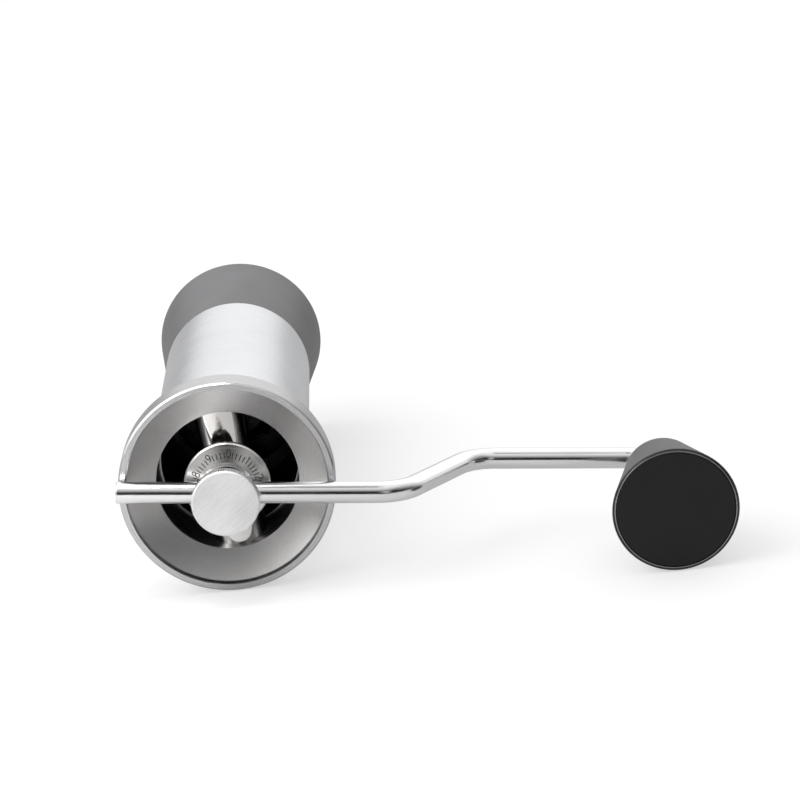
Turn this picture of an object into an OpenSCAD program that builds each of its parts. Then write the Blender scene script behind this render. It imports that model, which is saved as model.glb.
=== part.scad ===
/* [Catch cup] */
// Radius of the cup where it stands on the table
cup_base_r = 34.8; // [33.5:0.1:42]
// Height of the joint between the cup and the body
cup_h = 52; // [43:1:63]
// Wall thickness of the cup
cup_wall = 2.2; // [1.8:0.1:2.7]
// Thickness of the cup's floor
cup_floor = 3.4; // [2.6:0.1:6]
// Thickness of the rubber pad under the cup
foot_t = 1.2; // [1:0.1:1.6]
// Radius of the rubber pad under the cup
foot_r = 30; // [24:0.5:31]

/* [Body] */
// Outer radius of the steel body tube
tube_r = 30; // [29.8:0.1:33]
// Wall thickness of the body tube
tube_wall = 2; // [1.6:0.1:2.4]
// Height of the hopper ring's top above the table
ring_top = 210; // [185:1:260]
// Outer radius of the hopper ring
ring_r = 40; // [38.5:0.5:48]
// Height of the ring's cylindrical side
ring_h = 11.8; // [8:0.1:12.5]
// Width of the ring's flat front face
ring_face = 2.4; // [1.6:0.1:3]
// Width of the groove between the ring and the funnel
rim_gap = 0.6; // [0.4:0.1:1]
// Radius of the funnel's throat
throat_r = 26.5; // [25.5:0.1:27]
// Depth of the throat's edge below the ring's top
throat_depth = 8.9; // [8:0.1:10]
// Depth of the funnel's rim below the ring's top
rim_depth = 2.4; // [1.6:0.1:2.8]
// Radius of the funnel face's hollow curve
funnel_curve_r = 67; // [45:1:150]

/* [Upper bridge] */
// Depth of the polished sleeve's lower end below the ring's top
sleeve_depth = 35.2; // [33:0.1:42]
// Radius of the bridge's round arms on the body's axis
arm_r = 9.2; // [7:0.1:9.6]
// Radius of the bridge's round arms at the sleeve
arm_end_r = 10.2; // [7:0.1:10.6]
// Direction of the first arm
arm_angle = 100; // [0:5:355]
// Radius of the boss that holds the upper bearing
boss_r = 12.5; // [11.8:0.1:13.5]
// Depth of the boss's top below the ring's top
boss_depth = 11.5; // [11:0.1:13]

/* [Bearings] */
// Radius of the drive shaft and of the bearings' bores
shaft_r = 5; // [4.6:0.1:5.2]
// Outer radius of the bearings
bearing_r = 9.5; // [9.3:0.1:10.2]
// Width of the bearings
bearing_w = 5; // [4.6:0.1:6]
// Balls in each bearing
balls = 11; // [7:1:12]
// Height of the lower bearing's underside above the inner burr
spring_space = 12; // [11:0.5:18]

/* [Burrs] */
// Outer radius of the outer burr
burr_r = 23.5; // [22.5:0.1:24]
// Height of the outer burr's underside above the cup's joint
burr_lift = 6; // [5:0.5:9]
// Height of the outer burr
burr_h = 21; // [17:0.5:26]
// Radius of the inner burr's lower edge
core_r = 18.8; // [17:0.1:19]
// Gap between the burrs at the finest setting
burr_gap = 0.4; // [0.3:0.05:1]
// Height of the band of fine teeth
fine_h = 8; // [6:0.5:10]
// Fine teeth on the inner burr
fine_teeth = 36; // [24:1:44]
// Spiral lobes on the inner burr
lobes = 7; // [5:1:8]
// Bore radius of the inner burr
burr_bore_r = 4; // [3.5:0.1:4.2]

/* [Crank] */
// Radius of the crank rod
rod_r = 4; // [3.4:0.1:4.4]
// Height of the rod's upper stretch above the ring's top
rod_rise = 5.5; // [5:0.1:9]
// Drop between the rod's two stretches
rod_drop = 40.9; // [30:0.1:50]
// Distance from the body's axis to the start of the bend
bend_start = 55; // [50:1:65]
// Slope of the rod between its stretches
bend_angle = 56; // [45:1:70]
// Bend radius of the step
bend_r = 17; // [12:0.5:20]
// Reach of the rod's free end past the body's axis
rod_tail = 40.3; // [20:0.1:60]
// Distance from the body's axis to the knob's axis
crank_l = 162; // [150:1:200]
// Bend radius of the rod below the knob
elbow_r = 12; // [9:0.5:14]
// Radius of the crank hub
hub_r = 7.2; // [6.6:0.1:7.4]

/* [Dial and thumb nut] */
// Radius of the adjusting dial
dial_r = 16; // [13:0.1:18]
// Depth of the dial's outer edge below the ring's top
dial_depth = 3.8; // [3.6:0.1:4.2]
// Height of the dial's edge
dial_edge = 2.6; // [1.5:0.1:3]
// Rise of the dial's conical face
dial_rise = 2; // [1:0.1:2.2]
// Radius of the thumb nut
nut_r = 12.5; // [10:0.1:15]
// Height of the thumb nut
nut_h = 4.7; // [4.5:0.1:7]
// Grooves round the thumb nut
nut_knurl = 84; // [36:2:96]
// Radius of the stud that the thumb nut screws on
stud_r = 2; // [1.6:0.1:2.4]

/* [Knob] */
// Radius of the knob's upper end
knob_r = 23; // [20:0.1:27]
// Radius of the knob's lower end
knob_tail_r = 14.4; // [12:0.1:17]
// Height of the knob
knob_h = 43.9; // [38:0.1:54]
// Height of the knob's top above the ring's top
knob_rise = 27.5; // [24:0.1:34]
// Radius of the spindle inside the knob
spindle_r = 3; // [2.6:0.1:3.3]

/* [Fits] */
// Radial clearance of a running fit
run_c = 0.04; // [0.02:0.01:0.08]
// Radial clearance of parts that are fixed together
fix_c = 0.05; // [0.02:0.01:0.1]
// Gap between faces that turn or lift past each other
face_c = 0.1; // [0.05:0.01:0.2]

/* [Hidden] */
$fn = 96;
eps = 0.01;

tube_in_r = tube_r - tube_wall;
joint_gap = 0.2;

// Catch cup
cup_bottom = 0.4;
cup_edge = 1;
cup_slope = (tube_r - cup_base_r) / (cup_h - cup_bottom - cup_edge);
spigot_r = tube_in_r - 0.6;
spigot_l = 7.2;
spigot_c = 0.2;
mouth_r = spigot_r + spigot_c;
ledge_top = cup_h - spigot_l - spigot_c;
ledge_t = 3;
ledge_r = tube_in_r - 5.5;
magnet_r = 1.9;
magnet_h = 2;
magnet_count = 3;
magnet_pcd_r = (ledge_r + spigot_r) / 2;

// Ring and funnel
tube_top = ring_top - 11;
flange_t = 1;
rim_r = ring_r - ring_face - rim_gap;
rim_z = ring_top - rim_depth;
rim_t = 2;
throat_z = ring_top - throat_depth;
cone_slope = (rim_z - throat_z) / (rim_r - throat_r);
face_chord = norm([rim_r - throat_r, rim_z - throat_z]);
face_sag = funnel_curve_r - sqrt(pow(funnel_curve_r, 2) - pow(face_chord / 2, 2));
curve_reach = funnel_curve_r - face_sag;
curve_x = (rim_r + throat_r) / 2 - curve_reach * (rim_z - throat_z) / face_chord;
curve_z = (rim_z + throat_z) / 2 + curve_reach * (rim_r - throat_r) / face_chord;
funnel_t = 2;
rim_register = 1.6;
ring_ledge_z = rim_z - rim_t - fix_c;
ring_collar = 1.2;
taper_low = ring_top - ring_h - (ring_r - tube_r - ring_collar);

// Upper bridge
sleeve_out_r = tube_in_r - fix_c;
sleeve_low = ring_top - sleeve_depth;
sleeve_lip = 0.45;
lip_t = 0.5;
boss_top = ring_top - boss_depth;
arm_z = (sleeve_low + tube_top) / 2 + 0.4;
boss_h = 18;
race_wall = 1.25;
race_shoulder_r = bearing_r - race_wall;
pocket_lip = 0.5;
upper_bearing_z = boss_top - pocket_lip - bearing_w;
sleeve_tube_r = shaft_r + 1.4;
boss_bore_r = sleeve_tube_r + 0.8;

// Bearings
groove_r = 1.25;
ball_r = groove_r - 0.1;
ball_pitch_r = (shaft_r + bearing_r) / 2;
inner_race_r = shaft_r + race_wall;

// Burrs and lower carrier
burr_z = cup_h + burr_lift;
burr_top = burr_z + burr_h + 5;
burr_low = burr_z - 1;
lower_bearing_z = burr_top + spring_space;
carrier_out_r = tube_in_r - fix_c;
carrier_lip_z = burr_z + burr_h + fix_c;
carrier_lip_t = 1.8;
spider_top = lower_bearing_z + bearing_w + pocket_lip;
spider_h = 10;
spider_arm_w = 6;
carrier_wall = 2.4;
shoulder_t = 1;
seat_bore_r = race_shoulder_r + 0.9;

// Teeth of the inner burr
fine_taper = 11;
core_mid_r = core_r - fine_h * tan(fine_taper);
core_top_r = 10.5;
coarse_h = burr_top - burr_z - fine_h;
coarse_taper = atan((core_mid_r - core_top_r) / coarse_h);

// Teeth of the outer burr
shell_fine_r = core_r + burr_gap;
shell_mid_r = core_mid_r + burr_gap + 0.3;
shell_top_r = burr_r - 2;
shell_coarse_h = burr_h - fine_h;
shell_taper = atan((shell_top_r - shell_mid_r) / shell_coarse_h);

// Spring and its seat
seat_top = lower_bearing_z - fix_c;
seat_flange_z = lower_bearing_z - shoulder_t - 0.2;
seat_flange_t = 0.9;
spring_turns = 5;
wire_r = 0.7;
coil_r = 7.2;
spring_low = burr_top + wire_r + 0.05;
spring_high = seat_flange_z - seat_flange_t - wire_r - 0.05;
spring_rings = 72;
wire_sides = 8;
closed_share = 1 / spring_turns;
closed_rise = 2.1 * wire_r;

// Retaining ring under the outer burr
retainer_top = burr_z - fix_c;
retainer_low = cup_h - spigot_l;
burr_seat = 1;
retainer_in_r = burr_r - burr_seat;

// Shaft
burr_recess = 3;
recess_r = 13;
washer_t = 1.5;
washer_r = 9;
nut_af = 13;
nut_t = 5;
burr_nut_top = burr_low + burr_recess - washer_t - 2 * fix_c;
shaft_low = burr_nut_top - nut_t - 1;
thread_travel = 1;

// Dial stack
click_top = boss_top + 2.1;
click_r = race_shoulder_r - 0.6;
dial_low = click_top + fix_c;
dial_top = ring_top - dial_depth;
dial_neck_r = hub_r + 2;
hub_well_r = hub_r + 0.35;
hub_low = ring_top - 5;
well_z = hub_low - thread_travel - 0.4;

// Hub
rod_z = ring_top + rod_rise;
drive_af = 8;
hex_top = rod_z - rod_r - 0.5;
hub_top = rod_z + rod_r + 4.7;
nut_z = hub_top + face_c;
nut_top = nut_z + nut_h;
stud_top = nut_top - 1.6;
stud_c = 0.1;

// Rod
step_run = 2 * bend_r * sin(bend_angle);
slope_l = (rod_drop - 2 * bend_r * (1 - cos(bend_angle))) / sin(bend_angle);
low_rod_x = bend_start + step_run + slope_l * cos(bend_angle);
low_rod_z = rod_z - rod_drop;
rod_edge = 0.5;
seam = 0.2;
seam_step = 0.02;

// Knob
knob_top = ring_top + knob_rise;
knob_z = knob_top - knob_h;
collar_t = 3.2;
collar_r = 7;
spindle_z = knob_z - face_c - 0.6;
bushing_r = 5;
bushing_l = 12;
knob_cavity_r = 11;
knob_cavity_h = 14;
knob_cap_t = 1.3;
knob_cap_inset = 0.6;
knob_ring_r = knob_r - knob_cap_inset;
knob_ring_w = 0.6;
knob_ring_edge = 0.45;
cap_edge = 0.8;
cap_seat_z = knob_top - knob_cap_t;
cavity_low = cap_seat_z - knob_cavity_h;
retainer_t = 1.2;
retainer_z = cavity_low + 2 + face_c;
spindle_top = retainer_z + retainer_t + 2;

// A plain tube about the body's axis
module sleeve(r_out, r_in, z_low, z_high) {
    translate([0, 0, z_low])
    difference() {
        cylinder(r = r_out, h = z_high - z_low);
        translate([0, 0, -1])
        cylinder(r = r_in, h = z_high - z_low + 2);
    }
}

// Copies its children evenly about the body's axis
module around(count, start = 0) {
    for (i = [0 : count - 1])
        rotate([0, 0, start + i * 360 / count])
        children();
}

module hex_prism(across_flats, h) {
    cylinder(r = across_flats / 2 / cos(30), h = h, $fn = 6);
}

// The cup's outer radius at a height
function cup_out_r(z) = cup_base_r + (z - cup_bottom - cup_edge) * cup_slope;

module catch_cup() {
    floor_z = cup_bottom + cup_floor;
    color("dimgray")
    difference() {
        rotate_extrude()
        polygon([
            [0, cup_bottom],
            [cup_base_r - cup_edge, cup_bottom],
            [cup_base_r, cup_bottom + cup_edge],
            [tube_r, cup_h],
            [mouth_r + 0.4, cup_h],
            [mouth_r, cup_h - 0.4],
            [mouth_r, ledge_top],
            [ledge_r, ledge_top],
            [ledge_r, ledge_top - ledge_t],
            [cup_out_r(ledge_top - ledge_t - 5) - cup_wall, ledge_top - ledge_t - 5],
            [cup_out_r(floor_z + 3) - cup_wall, floor_z + 3],
            [cup_out_r(floor_z + 3) - cup_wall - 3, floor_z],
            [0, floor_z]
        ]);
        translate([0, 0, -1])
        cylinder(r = foot_r + fix_c, h = foot_t + fix_c + 1);
        around(magnet_count)
        translate([magnet_pcd_r, 0, ledge_top - magnet_h - fix_c])
        cylinder(r = magnet_r + fix_c, h = magnet_h + 1, $fn = 48);
    }
}

module cup_foot_pad() {
    color("black")
    cylinder(r = foot_r, h = foot_t);
}

module magnet_set(z) {
    color("silver")
    around(magnet_count)
    translate([magnet_pcd_r, 0, z])
    cylinder(r = magnet_r, h = magnet_h, $fn = 48);
}

module cup_magnets() {
    magnet_set(ledge_top - magnet_h);
}

module body_magnets() {
    magnet_set(retainer_low);
}

module body_tube() {
    color("lightgray")
    sleeve(tube_r, tube_in_r, cup_h + joint_gap, tube_top);
}

// Flared ring that carries the funnel on the top of the tube
module hopper_ring() {
    edge = 0.6;
    bore_r = tube_r + fix_c;
    stop_z = tube_top + flange_t + fix_c;
    ledge_in_r = rim_r - rim_register;
    color("gainsboro")
    rotate_extrude()
    polygon([
        [bore_r, taper_low],
        [tube_r + ring_collar, taper_low],
        [ring_r, ring_top - ring_h],
        [ring_r, ring_top - edge],
        [ring_r - edge, ring_top],
        [rim_r + rim_gap, ring_top],
        [rim_r + rim_gap, ring_ledge_z],
        [ledge_in_r, ring_ledge_z],
        [ledge_in_r, ring_ledge_z - 2.4],
        [bore_r + 1.6, stop_z],
        [bore_r, stop_z]
    ]);
}

// Funnel with a slightly hollow face, whose edge drops into the ring
module hopper_funnel() {
    trim = 1.5;
    nose_z = tube_top + flange_t + fix_c;
    register_r = rim_r - rim_register - fix_c;
    nose_r = throat_r + 1.5;
    color("silver")
    rotate_extrude()
    difference() {
        polygon([
            [throat_r, throat_z + trim],
            [rim_r, rim_z + trim],
            [rim_r, rim_z - rim_t],
            [register_r, rim_z - rim_t],
            [register_r, rim_z - funnel_t - (rim_r - register_r) * cone_slope],
            [nose_r, throat_z + (nose_r - throat_r) * cone_slope - funnel_t],
            [nose_r, nose_z],
            [throat_r, nose_z]
        ]);
        translate([curve_x, curve_z])
        circle(r = funnel_curve_r, $fn = 360);
    }
}

// Polished sleeve that lines the throat below the funnel
module throat_sleeve() {
    color("silver")
    union() {
        sleeve(sleeve_out_r, throat_r, sleeve_low, tube_top);
        sleeve(tube_r - fix_c, throat_r, tube_top, tube_top + flange_t);
        sleeve(throat_r + eps, throat_r - sleeve_lip, sleeve_low, sleeve_low + lip_t);
    }
}

// Two round arms that hold the boss of the upper bearing in the sleeve
module bearing_bridge() {
    arm_low = sleeve_low + lip_t + fix_c;
    color("silver")
    difference() {
        union() {
            translate([0, 0, boss_top - boss_h])
            cylinder(r = boss_r, h = boss_h);
            intersection() {
                around(2, arm_angle)
                translate([0, 0, arm_z])
                rotate([0, 90, 0])
                cylinder(r1 = arm_r, r2 = arm_end_r, h = throat_r);
                translate([0, 0, arm_low])
                cylinder(r = throat_r - fix_c, h = tube_top - arm_low);
            }
        }
        translate([0, 0, upper_bearing_z])
        cylinder(r = bearing_r + 0.02, h = boss_h);
        translate([0, 0, upper_bearing_z - shoulder_t])
        cylinder(r = race_shoulder_r, h = boss_h);
        translate([0, 0, sleeve_low - 1])
        cylinder(r = boss_bore_r, h = ring_top);
    }
}

module outer_race(z) {
    color("lightsteelblue")
    translate([0, 0, z])
    rotate_extrude()
    difference() {
        translate([race_shoulder_r, 0])
        square([race_wall, bearing_w]);
        translate([ball_pitch_r, bearing_w / 2])
        circle(r = groove_r, $fn = 48);
    }
}

module inner_race(z) {
    color("steelblue")
    translate([0, 0, z])
    rotate_extrude()
    difference() {
        translate([shaft_r + run_c, 0])
        square([race_wall - run_c, bearing_w]);
        translate([ball_pitch_r, bearing_w / 2])
        circle(r = groove_r, $fn = 48);
    }
}

module ball_cage(z) {
    color("gold") {
        translate([0, 0, z + bearing_w / 2])
        around(balls)
        translate([ball_pitch_r, 0, 0])
        sphere(r = ball_r, $fn = 32);
        sleeve(ball_pitch_r + 0.4, ball_pitch_r - 0.4, z + bearing_w / 2 - 0.3, z + bearing_w / 2 + 0.3);
    }
}

module upper_outer_race() {
    outer_race(upper_bearing_z);
}

module upper_inner_race() {
    inner_race(upper_bearing_z);
}

module upper_ball_cage() {
    ball_cage(upper_bearing_z);
}

module lower_outer_race() {
    outer_race(lower_bearing_z);
}

module lower_inner_race() {
    inner_race(lower_bearing_z);
}

module lower_ball_cage() {
    ball_cage(lower_bearing_z);
}

// Spacer between the two inner races
module spacer_sleeve() {
    color("silver")
    sleeve(
        sleeve_tube_r,
        shaft_r + run_c,
        lower_bearing_z + bearing_w + fix_c,
        upper_bearing_z - fix_c
    );
}

// Ring that carries the dial on the upper inner race
module click_ring() {
    color("darkgray")
    union() {
        sleeve(inner_race_r - 0.2, shaft_r + run_c, upper_bearing_z + bearing_w + fix_c, click_top);
        sleeve(click_r, shaft_r + run_c, boss_top + 0.5, click_top);
    }
}

// Arm of the lower spider, with a roof that sheds the beans
module spider_arm() {
    roof = 3;
    translate([0, 0, spider_top - spider_h])
    rotate([90, 0, 90])
    linear_extrude(height = tube_in_r - carrier_wall / 2)
    polygon([
        [-spider_arm_w / 2, 0],
        [spider_arm_w / 2, 0],
        [spider_arm_w / 2, spider_h - 2 - roof],
        [0, spider_h - 2],
        [-spider_arm_w / 2, spider_h - 2 - roof]
    ]);
}

// Holder of the outer burr, with a spider for the lower bearing
module burr_carrier() {
    color("gray")
    difference() {
        union() {
            sleeve(carrier_out_r, burr_r + fix_c, burr_z, carrier_lip_z);
            sleeve(carrier_out_r, burr_r - 1, carrier_lip_z, carrier_lip_z + carrier_lip_t);
            sleeve(
                carrier_out_r,
                carrier_out_r - carrier_wall,
                carrier_lip_z + carrier_lip_t,
                spider_top
            );
            translate([0, 0, lower_bearing_z - 4])
            cylinder(r = boss_r, h = spider_top - lower_bearing_z + 4);
            around(3, 40)
            spider_arm();
        }
        translate([0, 0, lower_bearing_z])
        cylinder(r = bearing_r + 0.02, h = spider_h);
        translate([0, 0, lower_bearing_z - shoulder_t])
        cylinder(r = race_shoulder_r, h = spider_h);
        translate([0, 0, lower_bearing_z - spider_h])
        cylinder(r = seat_bore_r, h = spider_h - shoulder_t);
    }
}

// The V-groove of one tooth, running up a cone at a slant
module tooth_cut(r, z, l, taper, slant, w, d) {
    translate([r, 0, z])
    rotate([slant, 0, 0])
    rotate([0, taper, 0])
    translate([0, 0, -l / 2])
    linear_extrude(height = l)
    polygon([[-d, -0.15 * w], [0.8, -0.7 * w], [0.8, 0.5 * w]]);
}

// Cone of the inner burr with spiral lobes above a band of fine teeth
module inner_burr() {
    fine_w = 2 * PI * core_r / fine_teeth;
    lobe_w = 2 * PI * core_mid_r / lobes;
    color("slategray")
    difference() {
        rotate_extrude()
        polygon([
            [burr_bore_r + run_c, burr_low + burr_recess],
            [recess_r, burr_low + burr_recess],
            [recess_r + 1, burr_low],
            [core_r, burr_low],
            [core_r, burr_z],
            [core_mid_r, burr_z + fine_h],
            [core_top_r, burr_top],
            [burr_bore_r + run_c, burr_top]
        ]);
        around(fine_teeth)
        tooth_cut(
            (core_r + core_mid_r) / 2,
            burr_z + fine_h / 2,
            fine_h * 1.6,
            -fine_taper,
            18,
            fine_w,
            0.9
        );
        around(lobes)
        tooth_cut(
            (core_mid_r + core_top_r) / 2,
            burr_z + fine_h + coarse_h / 2 + 1.5,
            coarse_h * 1.25,
            -coarse_taper,
            34,
            lobe_w * 0.62,
            3.4
        );
    }
}

// Ring burr with teeth inside
module outer_burr() {
    shell_teeth = fine_teeth + 4;
    fine_w = 2 * PI * shell_fine_r / shell_teeth;
    color("lightslategray")
    difference() {
        rotate_extrude()
        polygon([
            [shell_fine_r, burr_z],
            [burr_r, burr_z],
            [burr_r, burr_z + burr_h],
            [shell_top_r, burr_z + burr_h],
            [shell_mid_r, burr_z + fine_h]
        ]);
        around(shell_teeth)
        mirror([1, 0, 0])
        tooth_cut(
            -(shell_fine_r + shell_mid_r) / 2,
            burr_z + fine_h / 2,
            fine_h * 1.5,
            atan((shell_fine_r - shell_mid_r) / fine_h),
            18,
            fine_w,
            0.9
        );
        around(lobes + 5)
        mirror([1, 0, 0])
        tooth_cut(
            -(shell_top_r + shell_mid_r) / 2,
            burr_z + fine_h + shell_coarse_h / 2 + 1,
            shell_coarse_h * 1.2,
            -shell_taper,
            -20,
            5,
            1.6
        );
    }
}

// Threaded ring that closes the tube and plugs into the cup
module retaining_ring() {
    color("gray")
    difference() {
        union() {
            sleeve(spigot_r, retainer_in_r, retainer_low, cup_h + 2);
            sleeve(tube_in_r - fix_c, retainer_in_r, cup_h + joint_gap, retainer_top);
        }
        around(magnet_count)
        translate([magnet_pcd_r, 0, retainer_low - 1])
        cylinder(r = magnet_r + fix_c, h = magnet_h + fix_c + 1, $fn = 48);
    }
}

// Washer that passes the spring's push to the lower inner race
module spring_seat() {
    color("silver")
    union() {
        sleeve(inner_race_r - 0.1, shaft_r + run_c, seat_flange_z - eps, seat_top);
        sleeve(seat_bore_r - 0.35, shaft_r + run_c, seat_flange_z - seat_flange_t, seat_flange_z);
    }
}

// Height of the coil along its length, with a closed turn at each end
function spring_z(t) =
    t < closed_share ? spring_low + closed_rise * t / closed_share
    : t > 1 - closed_share ? spring_high - closed_rise * (1 - t) / closed_share
    : spring_low + closed_rise
        + (spring_high - spring_low - 2 * closed_rise) * (t - closed_share) / (1 - 2 * closed_share);

// Coil spring that pushes the shaft down
module preload_spring() {
    points = [
        for (i = [0 : spring_rings])
        for (j = [0 : wire_sides - 1])
        let (
            t = i / spring_rings,
            turn = 360 * spring_turns * t,
            side = 360 * j / wire_sides,
            r = coil_r + wire_r * cos(side)
        )
        [r * cos(turn), r * sin(turn), spring_z(t) + wire_r * sin(side)]
    ];
    walls = [
        for (i = [0 : spring_rings - 1])
        for (j = [0 : wire_sides - 1])
        let (
            a = i * wire_sides + j,
            b = i * wire_sides + (j + 1) % wire_sides
        )
        [a, b, b + wire_sides, a + wire_sides]
    ];
    first_end = [for (j = [0 : wire_sides - 1]) wire_sides - 1 - j];
    last_end = [for (j = [0 : wire_sides - 1]) spring_rings * wire_sides + j];
    color("silver")
    polyhedron(points, concat(walls, [first_end, last_end]));
}

// Numbered dial that raises and lowers the shaft
module adjust_dial() {
    edge = 0.5;
    low_z = dial_top - dial_edge;
    color("silver")
    rotate_extrude()
    polygon([
        [shaft_r + run_c, dial_low],
        [dial_neck_r, dial_low],
        [dial_neck_r, low_z - 0.6],
        [dial_neck_r + 0.6, low_z],
        [dial_r - edge, low_z],
        [dial_r, low_z + edge],
        [dial_r, dial_top - edge],
        [dial_r - edge, dial_top],
        [dial_neck_r, dial_top + dial_rise],
        [hub_well_r, dial_top + dial_rise],
        [hub_well_r, well_z],
        [shaft_r + run_c, well_z]
    ]);
}

// Shaft with a hexagon for the crank and a stud for the thumb nut
module drive_shaft() {
    color("lightgray")
    union() {
        translate([0, 0, burr_top + fix_c])
        cylinder(r = shaft_r, h = hub_low - face_c - burr_top - fix_c);
        translate([0, 0, shaft_low])
        cylinder(r = burr_bore_r, h = burr_top - shaft_low + 1);
        translate([0, 0, hub_low - 1])
        hex_prism(drive_af, hex_top - hub_low + 1);
        translate([0, 0, hex_top - 1])
        cylinder(r = stud_r, h = stud_top - hex_top + 1);
    }
}

module burr_washer() {
    color("silver")
    sleeve(washer_r, burr_bore_r + run_c, burr_nut_top + fix_c, burr_nut_top + fix_c + washer_t);
}

module burr_nut() {
    color("silver")
    difference() {
        translate([0, 0, burr_nut_top - nut_t])
        hex_prism(nut_af, nut_t);
        translate([0, 0, burr_nut_top - nut_t - 1])
        cylinder(r = burr_bore_r + run_c, h = nut_t + 2);
    }
}

// Hub that drops on the shaft's hexagon and holds the rod
module crank_hub() {
    color("gray")
    difference() {
        translate([0, 0, hub_low])
        cylinder(r = hub_r, h = hub_top - hub_low);
        translate([0, 0, hub_low - 1])
        hex_prism(drive_af + 2 * stud_c, hex_top - hub_low + 1 + face_c);
        translate([0, 0, hub_low])
        cylinder(r = stud_r + stud_c, h = hub_top - hub_low + 1);
        translate([-hub_r - 1, 0, rod_z])
        rotate([0, 90, 0])
        cylinder(r = rod_r + run_c, h = 2 * hub_r + 2);
    }
}

// A stretch of round rod along +X that runs a seam's length into the bends beside it
module rod_stretch(l, before = seam) {
    translate([-before, 0, 0])
    rotate([0, 90, 0])
    cylinder(r = rod_r, h = l + before + seam);
}

// A bend that starts along +X and turns down by an angle
module rod_bend(r, angle) {
    translate([0, 0, -r])
    rotate([90, 0, 0])
    rotate([0, 0, 90 - angle])
    rotate_extrude(angle = angle)
    translate([r, 0])
    circle(r = rod_r - seam_step);
}

// Bent rod from its free end, over the hub, down the step and up into the knob
module crank_rod() {
    color("silver")
    difference() {
        union() {
            translate([-rod_tail, 0, rod_z])
            rotate([0, 90, 0])
            cylinder(r1 = rod_r - rod_edge, r2 = rod_r, h = rod_edge);
            translate([-rod_tail + rod_edge, 0, rod_z])
            rod_stretch(rod_tail - rod_edge + bend_start, 0);
            translate([bend_start, 0, rod_z]) {
                rod_bend(bend_r, bend_angle);
                translate([bend_r * sin(bend_angle), 0, -bend_r * (1 - cos(bend_angle))])
                rotate([0, bend_angle, 0])
                rod_stretch(slope_l);
            }
            translate([low_rod_x, 0, low_rod_z])
            mirror([1, 0, 0])
            mirror([0, 0, 1])
            rod_bend(bend_r, bend_angle);
            translate([low_rod_x, 0, low_rod_z])
            rod_stretch(crank_l - elbow_r - low_rod_x);
            translate([crank_l - elbow_r, 0, low_rod_z])
            mirror([0, 0, 1])
            rod_bend(elbow_r, 90);
            translate([crank_l, 0, low_rod_z + elbow_r - seam])
            cylinder(r = rod_r, h = spindle_z - low_rod_z - elbow_r + seam);
            translate([crank_l, 0, spindle_z - 1])
            cylinder(r = spindle_r, h = spindle_top - spindle_z + 1);
        }
        translate([0, 0, rod_z - rod_r - 1])
        cylinder(r = stud_r + stud_c, h = 2 * rod_r + 2);
    }
}

module knob_collar() {
    color("silver")
    translate([crank_l, 0, 0])
    sleeve(collar_r, rod_r + fix_c, spindle_z - collar_t, spindle_z);
}

module knob_retainer() {
    color("silver")
    translate([crank_l, 0, 0])
    sleeve(bushing_r - 0.6, spindle_r + fix_c, retainer_z, retainer_z + retainer_t);
}

// Tapered knob with a cavity above its spindle
module knob_body() {
    tail_round = 2.5;
    lip = 0.3;
    color("#2b2c2e")
    translate([crank_l, 0, 0])
    rotate_extrude()
    difference() {
        union() {
            translate([0, knob_z])
            polygon([
                [0, 0],
                [knob_tail_r - tail_round, 0],
                [knob_tail_r - tail_round, tail_round],
                [knob_tail_r, tail_round],
                [knob_r, knob_h - lip],
                [knob_r - lip, knob_h],
                [0, knob_h]
            ]);
            intersection() {
                translate([knob_tail_r - tail_round, knob_z + tail_round])
                circle(r = tail_round);
                translate([0, knob_z])
                square([knob_tail_r, tail_round]);
            }
        }
        translate([-1, knob_z - 1])
        square([bushing_r + fix_c + 1, knob_h + 2]);
        translate([-1, cavity_low])
        square([knob_cavity_r + 1, knob_h]);
        translate([-1, cap_seat_z])
        square([knob_ring_r + fix_c + 1, knob_h]);
    }
}

// Bushing with a flange at its upper end
module bored_flange(z_low, flange_z, z_high) {
    difference() {
        union() {
            translate([0, 0, z_low])
            cylinder(r = bushing_r, h = z_high - z_low);
            translate([0, 0, flange_z])
            cylinder(r = bushing_r + 2, h = z_high - flange_z);
        }
        translate([0, 0, z_low - 1])
        cylinder(r = spindle_r + run_c, h = z_high - z_low + 2);
    }
}

module knob_bushings() {
    color("goldenrod")
    translate([crank_l, 0, 0]) {
        sleeve(bushing_r, spindle_r + run_c, knob_z - 0.4, knob_z + bushing_l);
        bored_flange(cavity_low - bushing_l, cavity_low + fix_c, cavity_low + 1);
    }
}

// Half section of a disc whose top edge is rounded
module rounded_disc(r, h, edge) {
    union() {
        square([r - edge, h]);
        square([r, h - edge]);
        intersection() {
            translate([r - edge, h - edge])
            circle(r = edge, $fn = 48);
            square([r, h]);
        }
    }
}

// Bright trim ring whose outer edge is rounded
module knob_ring() {
    color("silver")
    translate([crank_l, 0, cap_seat_z + fix_c])
    rotate_extrude()
    difference() {
        rounded_disc(knob_ring_r, knob_cap_t - fix_c, knob_ring_edge);
        translate([0, -1])
        square([knob_ring_r - knob_ring_w, knob_cap_t + 2]);
    }
}

module knob_cap() {
    color("#18191a")
    translate([crank_l, 0, cap_seat_z + fix_c])
    rotate_extrude()
    rounded_disc(knob_ring_r - knob_ring_w - fix_c, knob_cap_t - fix_c, cap_edge);
}

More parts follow.
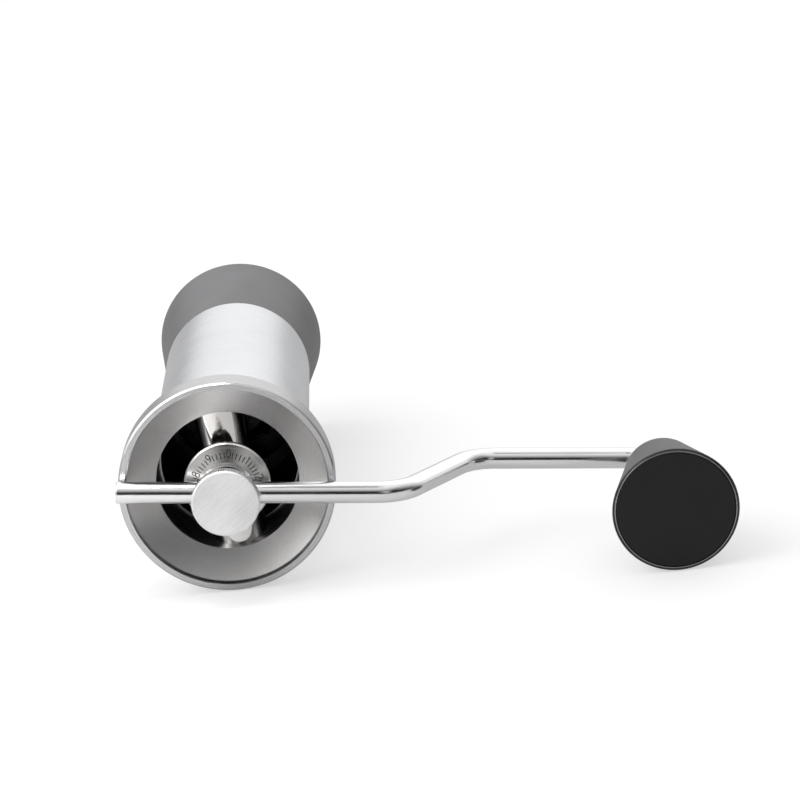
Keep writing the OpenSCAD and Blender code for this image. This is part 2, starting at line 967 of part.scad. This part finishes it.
// Knurled nut that clamps the crank on the shaft
module thumb_nut() {
    knurl_depth = 0.45;
    edge = 0.6;
    past = 0.3;
    outline = [
        for (i = [0 : 2 * nut_knurl - 1])
        let (r = i % 2 == 0 ? nut_r : nut_r - knurl_depth, a = 180 * i / nut_knurl)
        [r * cos(a), r * sin(a)]
    ];
    color("lightgray")
    difference() {
        intersection() {
            translate([0, 0, nut_z])
            linear_extrude(height = nut_h)
            polygon(outline);
            translate([0, 0, nut_z])
            rotate_extrude()
            polygon([
                [0, 0],
                [nut_r - edge, 0],
                [nut_r + past, edge + past],
                [nut_r + past, nut_h - edge - past],
                [nut_r - edge, nut_h],
                [0, nut_h]
            ]);
        }
        translate([0, 0, nut_z - 1])
        cylinder(r = stud_r + stud_c, h = stud_top - nut_z + 1 + face_c);
    }
}

catch_cup();
cup_foot_pad();
cup_magnets();
body_tube();
hopper_ring();
hopper_funnel();
throat_sleeve();
bearing_bridge();
upper_outer_race();
burr_carrier();
lower_outer_race();
outer_burr();
retaining_ring();
body_magnets();
upper_inner_race();
upper_ball_cage();
click_ring();
spacer_sleeve();
lower_inner_race();
lower_ball_cage();
spring_seat();
preload_spring();
adjust_dial();
drive_shaft();
inner_burr();
burr_washer();
burr_nut();
crank_hub();
crank_rod();
knob_collar();
knob_retainer();
thumb_nut();
knob_body();
knob_bushings();
knob_ring();
knob_cap();
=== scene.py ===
import math

import bmesh
import bpy
from mathutils import Matrix, Vector


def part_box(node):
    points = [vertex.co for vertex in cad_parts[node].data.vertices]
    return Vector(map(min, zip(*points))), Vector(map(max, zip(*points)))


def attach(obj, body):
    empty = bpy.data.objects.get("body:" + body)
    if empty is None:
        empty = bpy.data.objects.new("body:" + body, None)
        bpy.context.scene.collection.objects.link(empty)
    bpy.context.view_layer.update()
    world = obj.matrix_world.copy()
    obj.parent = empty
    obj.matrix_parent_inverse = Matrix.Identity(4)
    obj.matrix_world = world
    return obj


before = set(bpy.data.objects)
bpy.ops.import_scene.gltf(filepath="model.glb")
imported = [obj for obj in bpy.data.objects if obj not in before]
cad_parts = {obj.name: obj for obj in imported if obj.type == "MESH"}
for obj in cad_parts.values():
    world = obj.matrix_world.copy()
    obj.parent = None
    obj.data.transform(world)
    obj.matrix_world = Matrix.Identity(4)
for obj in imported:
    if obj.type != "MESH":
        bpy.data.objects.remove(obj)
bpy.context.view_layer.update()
scene = bpy.context.scene
MM = 0.001

# ---------------------------------------------------------------- measures from the frame

RING_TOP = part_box("hopper_ring")[1].z
RING_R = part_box("hopper_ring")[1].x
TUBE_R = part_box("body_tube")[1].x
DIAL_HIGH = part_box("adjust_dial")[1]
KNOB_LOW, KNOB_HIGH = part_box("knob_body")
KNOB_X = (KNOB_LOW.x + KNOB_HIGH.x) / 2
KNOB_R = (KNOB_HIGH.x - KNOB_LOW.x) / 2

# The dial's conical top as part.scad shapes it.
DIAL_CHAMFER = 0.5 * MM
DIAL_RISE = 2.0 * MM
DIAL_NECK_R = 9.2 * MM

# ---------------------------------------------------------------- camera

# Fitted to the photograph's circles and edges: pixels, metres and radians.
SENSOR = 36.0
PHOTO_SIDE = 800
FOCAL_PX = 2819.6
CAMERA_FROM_RING = Vector((32.618, 319.466, 986.488)) * MM
TILT, YAW, ROLL = 0.28209, 0.0311, -0.00626
CLIP_NEAR, CLIP_FAR = 0.01, 20.0


def build_camera():
    """The lens and place that give the photograph's circles, looking down on the ring."""
    data = bpy.data.cameras.new("camera")
    data.sensor_width = SENSOR
    data.lens = FOCAL_PX / PHOTO_SIDE * SENSOR
    data.clip_start = CLIP_NEAR
    data.clip_end = CLIP_FAR
    camera = bpy.data.objects.new("camera", data)
    scene.collection.objects.link(camera)
    world_to_camera = (
        Matrix.Rotation(ROLL, 3, "Z") @ Matrix.Rotation(TILT, 3, "X") @ Matrix.Rotation(YAW, 3, "Y")
    )
    place = CAMERA_FROM_RING + Vector((0, 0, RING_TOP))
    camera.matrix_world = Matrix.Translation(place) @ world_to_camera.transposed().to_4x4()
    scene.camera = camera


# ---------------------------------------------------------------- node helpers

# Of the Mix node's sockets, these are the ones for colours.
MIX_COLOUR_A, MIX_COLOUR_B, MIX_COLOUR_OUT = 6, 7, 2
RING_WANDER = 40.0


class Graph:
    """Short calls for a node tree."""

    def __init__(self, tree):
        self.tree = tree
        self.tree.nodes.clear()

    def node(self, kind, **settings):
        n = self.tree.nodes.new(kind)
        for key, value in settings.items():
            setattr(n, key, value)
        return n

    def link(self, a, b):
        self.tree.links.new(a, b)

    def feed(self, socket, value):
        if isinstance(value, bpy.types.NodeSocket):
            self.link(value, socket)
        else:
            socket.default_value = value

    def math(self, operation, *values, clamp=False):
        n = self.node("ShaderNodeMath", operation=operation, use_clamp=clamp)
        for socket, value in zip(n.inputs, values):
            self.feed(socket, value)
        return n.outputs[0]

    def vector(self, operation, *values):
        n = self.node("ShaderNodeVectorMath", operation=operation)
        sockets = (n.inputs[0], n.inputs["Scale"]) if operation == "SCALE" else n.inputs
        for socket, value in zip(sockets, values):
            self.feed(socket, value)
        return n.outputs["Value"] if operation in ("DOT_PRODUCT", "LENGTH") else n.outputs[0]

    def smooth(self, value, low, high, to_low=0.0, to_high=1.0):
        n = self.node("ShaderNodeMapRange", interpolation_type="SMOOTHSTEP")
        for socket, v in zip(n.inputs, (value, low, high, to_low, to_high)):
            self.feed(socket, v)
        return n.outputs[0]

    def mix(self, factor, a, b):
        n = self.node("ShaderNodeMix", data_type="RGBA")
        self.feed(n.inputs[0], factor)
        self.feed(n.inputs[MIX_COLOUR_A], a)
        self.feed(n.inputs[MIX_COLOUR_B], b)
        return n.outputs[MIX_COLOUR_OUT]

    def noise(self, coords, scale=1.0, detail=3.0, rough=0.5):
        n = self.node("ShaderNodeTexNoise")
        self.feed(n.inputs["Vector"], coords)
        n.inputs["Scale"].default_value = scale
        n.inputs["Detail"].default_value = detail
        n.inputs["Roughness"].default_value = rough
        return n.outputs["Fac"]

    def scaled(self, coords, scale, turn=0.0):
        """Coordinates turned about Z and then stretched."""
        n = self.node("ShaderNodeMapping", vector_type="POINT")
        self.link(coords, n.inputs["Vector"])
        n.inputs["Rotation"].default_value = (0, 0, turn)
        return self.vector("MULTIPLY", n.outputs[0], scale)

    def turned(self, coords, fine, axis_x=0.0):
        """Coordinates whose noise runs in fine rings about an upright axis, as a lathe leaves."""
        place = self.vector("SUBTRACT", coords, (axis_x, 0.0, 0.0))
        flat = self.vector("MULTIPLY", place, (1.0, 1.0, 0.0))
        parts = self.node("ShaderNodeSeparateXYZ")
        self.link(place, parts.inputs[0])
        rings = self.node("ShaderNodeCombineXYZ")
        self.feed(rings.inputs[0], self.math("MULTIPLY", self.vector("LENGTH", flat), fine))
        self.feed(rings.inputs[1], self.math("MULTIPLY", parts.outputs[2], fine))
        return self.vector("ADD", rings.outputs[0], self.vector("SCALE", flat, RING_WANDER))

    def bump(self, height, strength, distance):
        n = self.node("ShaderNodeBump")
        self.feed(n.inputs["Height"], height)
        n.inputs["Strength"].default_value = strength
        n.inputs["Distance"].default_value = distance
        return n.outputs[0]


def rgb(value, tint=(1.0, 1.0, 1.0)):
    return (value * tint[0], value * tint[1], value * tint[2], 1.0)


def new_material(name):
    material = bpy.data.materials.new(name)
    material.use_nodes = True
    graph = Graph(material.node_tree)
    shader = graph.node("ShaderNodeBsdfPrincipled")
    output = graph.node("ShaderNodeOutputMaterial")
    graph.link(shader.outputs[0], output.inputs[0])
    coords = graph.node("ShaderNodeTexCoord").outputs["Object"]
    return material, graph, shader, coords


# ---------------------------------------------------------------- stage

# The table touches the ring and the knob, so it leans a little about Z. World up is nearly +Y, and
# the camera looks from +Z.
FLOOR_TILT = math.asin((RING_R - KNOB_R) / KNOB_X)
FLOOR_GAP = 0.0004
FLOOR_VALUE = 0.42
FLOOR_GLOW = 0.54
FLOOR_GLOW_IN_METAL = 0.21
GLOW_STARTS = (0.10, 0.24)
TABLE_X, TABLE_FRONT, TABLE_BACK = 2.2, 0.62, -3.2
ALONG = Vector((math.cos(FLOOR_TILT), math.sin(FLOOR_TILT), 0))
UPWARD = Vector((-math.sin(FLOOR_TILT), math.cos(FLOOR_TILT), 0))

# The studio's levels, where 1 is white. A fade is where it starts and ends, then its two levels.
BACKDROP_FADE = (0.15, -0.55)
BACKDROP_ABOVE_TABLE = (0.02, 0.16, 0.30, 1.02)
BACKDROP_TOP = (0.28, 0.55, 0.0, 0.35)
FRONT_SLOPE, FRONT_START = 1.56, -0.47
FRONT_BASE = 0.012
DARKEST = 0.006

# Round patches of light and shade: the direction, the angles in degrees from it where the patch is
# full and where it has faded out, and the level that it adds. The first list is in front only.
FRONT_PATCHES = [
    ((-0.4, 0.14, 0.9), 6, 17, 0.62),
    ((0.31, 0.25, 0.92), 3, 11, 0.55),
    ((-1, 0.12, 0.1), 25, 60, 0.45),
    ((1, 0.1, 0.3), 15, 45, 0.25),
]
PATCHES = [
    ((-0.85, 0.5, 0.1), 24, 32, 1.2),  # left and raised
    ((-0.9, 0.17, 0.4), 3, 10, 2.0),  # left, low and to the front
    ((-0.5, 0.84, 0.2), 8, 18, 0.5),  # upper left
    ((0.75, 0.44, 0.49), 5, 30, -0.25),  # right, shade
    ((0.0, 0.2, 0.98), 4, 13, -0.4),  # the camera's side, shade
    ((-0.03, 0.96, 0.27), 5, 12, -0.8),  # overhead, shade
]

LAMPS = [
    # name, place, aimed at, size (all in metres), watts, spread in degrees
    ("left_front", (-0.75, 0.65, 0.55), (0.0, 0.0, 0.15), (0.9, 0.9), 3.4, 180),
    ("front_pool", (-0.15, 0.36, 0.60), (-0.15, 0.0, 0.60), (0.24, 0.8), 0.9, 40),
]


def seen_straight(g, path):
    """1 for the rays that see the plain background: from the camera and through glass."""
    return g.math("MAXIMUM", path.outputs["Is Camera Ray"], path.outputs["Is Transmission Ray"])


def build_world():
    """White to the camera; to light and metal, a backdrop, a dimmer front and soft patches."""
    world = bpy.data.worlds.new("studio")
    world.use_nodes = True
    scene.world = world
    g = Graph(world.node_tree)
    direction = g.node("ShaderNodeTexCoord").outputs["Generated"]
    axes = g.node("ShaderNodeSeparateXYZ")
    g.link(direction, axes.inputs[0])
    _, y, z = axes.outputs

    def patch(toward, full, gone, value):
        dot = g.vector("DOT_PRODUCT", direction, tuple(Vector(toward).normalized()))
        edges = math.cos(math.radians(gone)), math.cos(math.radians(full))
        return g.smooth(dot, *edges, 0.0, value)

    def add(total, *values):
        for value in values:
            total = g.math("ADD", total, value)
        return total

    def times(a, b):
        return g.math("MULTIPLY", a, b)

    behind = g.smooth(z, *BACKDROP_FADE)
    backdrop = add(g.smooth(y, *BACKDROP_ABOVE_TABLE), g.smooth(y, *BACKDROP_TOP))
    climb = g.math("MULTIPLY_ADD", y, FRONT_SLOPE, FRONT_START, clamp=True)
    front = add(climb, FRONT_BASE, *(patch(*p) for p in FRONT_PATCHES))
    level = add(times(behind, backdrop), times(g.math("SUBTRACT", 1.0, behind), front))
    level = g.math("MAXIMUM", add(level, *(patch(*p) for p in PATCHES)), DARKEST)
    straight = seen_straight(g, g.node("ShaderNodeLightPath"))
    strength = add(times(level, g.math("SUBTRACT", 1.0, straight)), straight)
    background = g.node("ShaderNodeBackground")
    background.inputs["Color"].default_value = (1, 1, 1, 1)
    g.link(strength, background.inputs["Strength"])
    output = g.node("ShaderNodeOutputWorld")
    g.link(background.outputs[0], output.inputs[0])


def build_floor():
    """The table that the grinder lies on, seen from its own side only.

    Metal sees part of its glow, and only in front.
    """
    material = bpy.data.materials.new("table")
    material.use_nodes = True
    g = Graph(material.node_tree)
    diffuse = g.node("ShaderNodeBsdfDiffuse")
    diffuse.inputs[0].default_value = rgb(FLOOR_VALUE)
    glow = g.node("ShaderNodeEmission")
    path = g.node("ShaderNodeLightPath")
    straight = seen_straight(g, path)
    place = g.node("ShaderNodeSeparateXYZ")
    g.link(g.node("ShaderNodeTexCoord").outputs["Object"], place.inputs[0])
    in_front = g.smooth(place.outputs[2], *GLOW_STARTS, 0.0, FLOOR_GLOW_IN_METAL)
    in_metal = g.math("MULTIPLY", path.outputs["Is Glossy Ray"], in_front)
    strength = g.math("MULTIPLY_ADD", straight, FLOOR_GLOW, in_metal)
    g.link(strength, glow.inputs["Strength"])
    both = g.node("ShaderNodeAddShader")
    g.link(diffuse.outputs[0], both.inputs[0])
    g.link(glow.outputs[0], both.inputs[1])
    clear = g.node("ShaderNodeBsdfTransparent")
    side = g.node("ShaderNodeMixShader")
    g.link(g.node("ShaderNodeNewGeometry").outputs["Backfacing"], side.inputs[0])
    g.link(both.outputs[0], side.inputs[1])
    g.link(clear.outputs[0], side.inputs[2])
    output = g.node("ShaderNodeOutputMaterial")
    g.link(side.outputs[0], output.inputs[0])

    centre = -UPWARD * (RING_R + FLOOR_GAP)
    corners = [
        centre + ALONG * x + Vector((0, 0, z))
        for x, z in (
            (-TABLE_X, TABLE_FRONT),
            (TABLE_X, TABLE_FRONT),
            (TABLE_X, TABLE_BACK),
            (-TABLE_X, TABLE_BACK),
        )
    ]
    mesh = bpy.data.meshes.new("table")
    mesh.from_pydata([tuple(c) for c in corners], [], [(0, 1, 2, 3)])
    mesh.materials.append(material)
    table = bpy.data.objects.new("table", mesh)
    scene.collection.objects.link(table)


def area_lamp(name, place, target, size, power, spread):
    data = bpy.data.lights.new(name, "AREA")
    data.shape = "RECTANGLE"
    data.size, data.size_y = size
    data.energy = power
    data.spread = math.radians(spread)
    lamp = bpy.data.objects.new(name, data)
    lamp.location = place
    lamp.rotation_euler = (Vector(target) - Vector(place)).to_track_quat("-Z", "Y").to_euler()
    scene.collection.objects.link(lamp)


def build_lamps():
    for lamp in LAMPS:
        area_lamp(*lamp)


# ---------------------------------------------------------------- materials


# Grains are cycles per metre, depths are millimetres and values are linear, where 1 is white.
CLOUD_GRAIN_STEEL, CLOUD_GRAIN_COATING = 60.0, 45.0
LINE_SHARE, PEBBLE_SHARE = 0.7, 0.6
STEEL_BUMP, COATING_BUMP = 0.35, 0.4
# Painted shade: the tube's bore is darkened to a near-black value inside a radius, fading in over this
# width.
PAINTED_SHADE_EDGE = 0.3 * MM
TUBE_PAINTED_SHADE_BORE = (TUBE_R - 1.2 * MM, 0.05)
WARM, WARMER, BRONZE = (1.0, 0.985, 0.975), (1.0, 0.97, 0.94), (1.0, 0.78, 0.42)
DIAL_TINT, TUBE_TINT = (1.0, 0.985, 0.96), (0.985, 0.995, 1.02)
KNOB_TINT, CAP_TINT = (1.0, 1.0, 1.08), (1.0, 0.97, 1.12)
LATHE = dict(axis_x=0.0, tangent="Z")


def steel(
    name,
    value,
    rough,
    aniso,
    grain,
    grain_turn=0.0,
    depth=0.02,
    contrast=0.12,
    tint=(1.0, 1.0, 1.01),
    tangent=None,
    axis_x=None,
    bore=None,
):
    """Machined steel: fine lines across the surface in colour, roughness and bump.

    axis_x puts the lines in rings about an upright axis. bore gives a radius and a value: inside
    that radius the colour is darkened to that value, as painted shade on the inner face.
    """
    material, g, shader, coords = new_material(name)
    shader.inputs["Metallic"].default_value = 1.0
    shader.inputs["Anisotropic"].default_value = aniso
    if tangent is not None:
        t = g.node("ShaderNodeTangent", direction_type="RADIAL", axis=tangent)
        g.link(t.outputs[0], shader.inputs["Tangent"])
    if axis_x is None:
        across = g.scaled(coords, grain, grain_turn)
    else:
        across = g.turned(coords, grain, axis_x)
    lines = g.noise(across, detail=4.0, rough=0.6)
    cloud = g.noise(coords, CLOUD_GRAIN_STEEL, detail=2.0)
    shade = g.math("ADD", g.math("MULTIPLY", lines, LINE_SHARE), g.math("MULTIPLY", cloud, 1 - LINE_SHARE))
    low = rgb(value * (1 - contrast), tint)
    high = rgb(min(1.0, value * (1 + contrast)), tint)
    colour = g.mix(g.smooth(shade, 0.3, 0.7), low, high)
    # Painted shade: inside the given radius the colour fades to the given dark value, standing in for the
    # shade inside the bore.
    if bore is not None:
        bore_r, painted_shade_value = bore
        radius = g.vector("LENGTH", g.vector("MULTIPLY", coords, (1.0, 1.0, 0.0)))
        in_painted_shade = g.smooth(radius, bore_r + PAINTED_SHADE_EDGE, bore_r)
        colour = g.mix(in_painted_shade, colour, rgb(painted_shade_value, tint))
    g.link(colour, shader.inputs["Base Color"])
    g.link(g.smooth(lines, 0.3, 0.7, rough * 0.85, rough * 1.2), shader.inputs["Roughness"])
    g.link(g.bump(lines, STEEL_BUMP, depth * MM), shader.inputs["Normal"])
    return material


def coating(
    name,
    value,
    rough,
    grain=2600.0,
    depth=0.02,
    tint=(1.0, 1.0, 1.05),
    sheen=0.0,
    gloss=0.5,
):
    """Powder coat or moulded matte plastic: fine pebbled grain with a faint cloudiness."""
    material, g, shader, coords = new_material(name)
    pebbles = g.noise(coords, grain, detail=3.0, rough=0.6)
    cloud = g.noise(coords, CLOUD_GRAIN_COATING, detail=3.0)
    shade = g.math(
        "ADD", g.math("MULTIPLY", pebbles, PEBBLE_SHARE), g.math("MULTIPLY", cloud, 1 - PEBBLE_SHARE)
    )
    colour = g.mix(g.smooth(shade, 0.35, 0.65), rgb(value * 0.85, tint), rgb(value * 1.2, tint))
    g.link(colour, shader.inputs["Base Color"])
    g.link(g.smooth(pebbles, 0.3, 0.7, rough * 0.92, rough * 1.08), shader.inputs["Roughness"])
    g.link(g.bump(pebbles, COATING_BUMP, depth * MM), shader.inputs["Normal"])
    shader.inputs["Sheen Weight"].default_value = sheen
    shader.inputs["Specular IOR Level"].default_value = gloss
    return material


def hopper_finishes():
    return {
        # The tube's bore carries painted shade: its inner face is darkened to near black.
        "body_tube": steel(
            "brushed_tube_shaded_bore", 0.78, 0.30, 0.6, 2600.0, depth=0.014, contrast=0.06, tint=TUBE_TINT,
            bore=TUBE_PAINTED_SHADE_BORE, **LATHE
        ),
        "hopper_ring": steel("ring_satin", 0.56, 0.27, 0.3, 3000.0, depth=0.004, contrast=0.03, **LATHE),
        "hopper_funnel": steel(
            "funnel_satin", 0.52, 0.31, 0.0, (3600, 3600, 3600), depth=0.0015, contrast=0.05, tint=WARM
        ),
        "throat_sleeve": steel(
            "sleeve_honed", 0.42, 0.30, 0.3, 2600.0, depth=0.004, contrast=0.06, axis_x=0.0
        ),
        "bearing_bridge": steel(
            "bridge_polished", 0.70, 0.09, 0.0, (30, 30, 900), depth=0.002, contrast=0.05, tint=WARMER
        ),
        "adjust_dial": steel(
            "dial_turned", 0.80, 0.22, 0.75, 3000.0, depth=0.006, contrast=0.06, tint=DIAL_TINT, **LATHE
        ),
    }


def crank_and_cup_finishes():
    return {
        "thumb_nut": steel(
            "nut_hatched", 0.89, 0.42, 0.3, (160, 2200, 400), grain_turn=-0.75, contrast=0.09
        ),
        "crank_rod": steel("rod_satin", 0.84, 0.17, 0.0, (40, 1500, 1500), depth=0.004, contrast=0.05),
        "catch_cup": coating("cup_powder_coat", 0.102, 0.40, depth=0.03),
        "cup_foot_pad": coating("rubber", 0.03, 0.75, 1800.0, 0.03),
        "knob_body": coating("knob_matte", 0.022, 0.46, 3400.0, 0.015, tint=KNOB_TINT, sheen=0.12),
        "knob_cap": coating("knob_cap_satin", 0.011, 0.46, 3800.0, 0.008, tint=CAP_TINT, gloss=0.32),
        "knob_ring": steel(
            "knob_ring_bright", 0.32, 0.14, 0.2, 3000.0, depth=0.002, contrast=0.04, axis_x=KNOB_X
        ),
        "knob_bushings": steel("bushing_bronze", 0.55, 0.3, 0.2, 2600.0, tint=BRONZE, axis_x=KNOB_X),
    }


def burr_finishes():
    return {
        # Painted shade: the burrs and the burr carrier have dark values that stand in for the shade deep
        # inside the grinder.
        "inner_burr": steel("burr_painted_shade_dark", 0.20, 0.30, 0.0, (700, 700, 2400), contrast=0.15),
        "outer_burr": steel("ring_burr_painted_shade_dark", 0.20, 0.30, 0.0, (700, 700, 2400), contrast=0.15),
        "preload_spring": steel("spring_wire", 0.45, 0.25, 0.0, (900, 900, 900)),
        "burr_carrier": steel("carrier_painted_shade_dark", 0.16, 0.36, 0.3, 2600.0, **LATHE),
        "retaining_ring": steel("retainer_turned", 0.45, 0.3, 0.4, 2600.0, **LATHE),
    }


def paint_nodes():
    """Gives every CAD node its own finish; the rest are ground races or ground shaft steel."""
    finishes = {**hopper_finishes(), **crank_and_cup_finishes(), **burr_finishes()}
    shaft = steel("shaft_ground", 0.74, 0.2, 0.4, 2600.0, contrast=0.06, **LATHE)
    race = steel("race_ground", 0.78, 0.14, 0.3, 2600.0, contrast=0.04, **LATHE)
    for name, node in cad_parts.items():
        is_bright = any(word in name for word in ("race", "ball", "magnet"))
        node.material_slots[0].material = finishes.get(name, race if is_bright else shaft)


# ---------------------------------------------------------------- dial marks

DIAL_R = DIAL_HIGH.x
MARKS_PER_TURN = 50
MARKS_PER_NUMBER = 5
FIRST_NUMBER = math.radians(87.5)
MARK_INNER = 10.6 * MM
MARK_OUTER = 12.7 * MM
NUMBER_INNER = 10.9 * MM
NUMBER_HEIGHT = 2.8 * MM
STROKE = 0.33 * MM
PROUD = 0.02 * MM
SUNK = 0.06 * MM
SAME_POINT = 1e-7


def arc(cx, cy, rx, ry, start, end, steps=14):
    """Points round part of an ellipse, angles in degrees."""
    turns = [math.radians(start + (end - start) * i / steps) for i in range(steps + 1)]
    return [(cx + rx * math.cos(t), cy + ry * math.sin(t)) for t in turns]


# Each digit is a list of strokes, in heights of a digit, with 0 at its middle and its foot.
SIX = [arc(0, 0.29, 0.25, 0.29, 0, 360), arc(0.27, 0.33, 0.52, 0.67, 185, 112)]
DIGITS = [
    [arc(0, 0.5, 0.26, 0.5, 0, 360, 20)],
    [[(-0.16, 0.8), (0.02, 1), (0.02, 0)]],
    [arc(0, 0.73, 0.25, 0.27, 165, -35) + [(-0.25, 0), (0.26, 0)]],
    [arc(0, 0.75, 0.22, 0.25, 150, -90), arc(0, 0.26, 0.26, 0.26, 90, -150)],
    [[(0.1, 0), (0.1, 1), (-0.26, 0.3), (0.26, 0.3)]],
    [[(0.22, 1), (-0.18, 1), (-0.22, 0.52)] + arc(0, 0.31, 0.26, 0.31, 125, -150)],
    SIX,
    [[(-0.25, 1), (0.25, 1), (-0.08, 0)]],
    [arc(0, 0.76, 0.21, 0.24, 0, 360), arc(0, 0.26, 0.26, 0.26, 0, 360)],
    [[(-x, 1 - y) for x, y in stroke] for stroke in SIX],
]


def dial_point(across, radius, turn, lift):
    """A point over the dial's conical face: across is along the rim, clockwise."""
    rim_r, rim_z = DIAL_R - DIAL_CHAMFER, DIAL_HIGH.z - DIAL_RISE
    slope = DIAL_RISE / (rim_r - DIAL_NECK_R)
    angle = turn - across / radius
    z = rim_z + (rim_r - radius) * slope + lift
    return (radius * math.cos(angle), radius * math.sin(angle), z)


def add_stroke(bm, points, width, turn):
    """A thin bar along points, which are pairs of across and radius."""
    closed = math.dist(points[0], points[-1]) < SAME_POINT
    if closed:
        points = points[:-1]
    count = len(points)
    rows = []
    for i, (x, y) in enumerate(points):
        before = points[i - 1] if closed or i > 0 else points[i]
        after = points[(i + 1) % count] if closed or i < count - 1 else points[i]
        along = Vector((after[0] - before[0], after[1] - before[1])).normalized()
        side = Vector((-along.y, along.x)) * width / 2
        corners = [(side, PROUD), (-side, PROUD), (-side, -SUNK), (side, -SUNK)]
        rows.append([
            bm.verts.new(dial_point(x + offset.x, y + offset.y, turn, lift))
            for offset, lift in corners
        ])
    pairs = list(zip(rows, rows[1:]))
    if closed:
        pairs.append((rows[-1], rows[0]))
    for a, b in pairs:
        for k in range(4):
            bm.faces.new((a[k], a[(k + 1) % 4], b[(k + 1) % 4], b[k]))
    if not closed:
        bm.faces.new(rows[0][::-1])
        bm.faces.new(rows[-1])


def mesh_piece(name, bm, material, body):
    bmesh.ops.recalc_face_normals(bm, faces=bm.faces)
    mesh = bpy.data.meshes.new(name)
    bm.to_mesh(mesh)
    bm.free()
    piece = bpy.data.objects.new(name, mesh)
    mesh.materials.append(material)
    scene.collection.objects.link(piece)
    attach(piece, body)


def build_dial_marks():
    """Dark lines and numbers round the dial, clockwise from 0, standing a hair proud of it."""
    paint = coating("mark_fill", 0.012, 0.5, 3000.0, 0.004)
    ticks, numbers = bmesh.new(), bmesh.new()
    for i in range(MARKS_PER_TURN):
        turn = FIRST_NUMBER - i * 2 * math.pi / MARKS_PER_TURN
        if i % MARKS_PER_NUMBER:
            add_stroke(ticks, [(0, MARK_INNER), (0, MARK_OUTER)], STROKE, turn)
            continue
        for stroke in DIGITS[i // MARKS_PER_NUMBER]:
            points = [(x * NUMBER_HEIGHT, NUMBER_INNER + y * NUMBER_HEIGHT) for x, y in stroke]
            add_stroke(numbers, points, STROKE, turn)
    mesh_piece("dial_ticks", ticks, paint, "dial")
    mesh_piece("dial_numbers", numbers, paint, "dial")


build_camera()
build_world()
build_floor()
build_lamps()
paint_nodes()
build_dial_marks()

scene.view_settings.view_transform = "Standard"
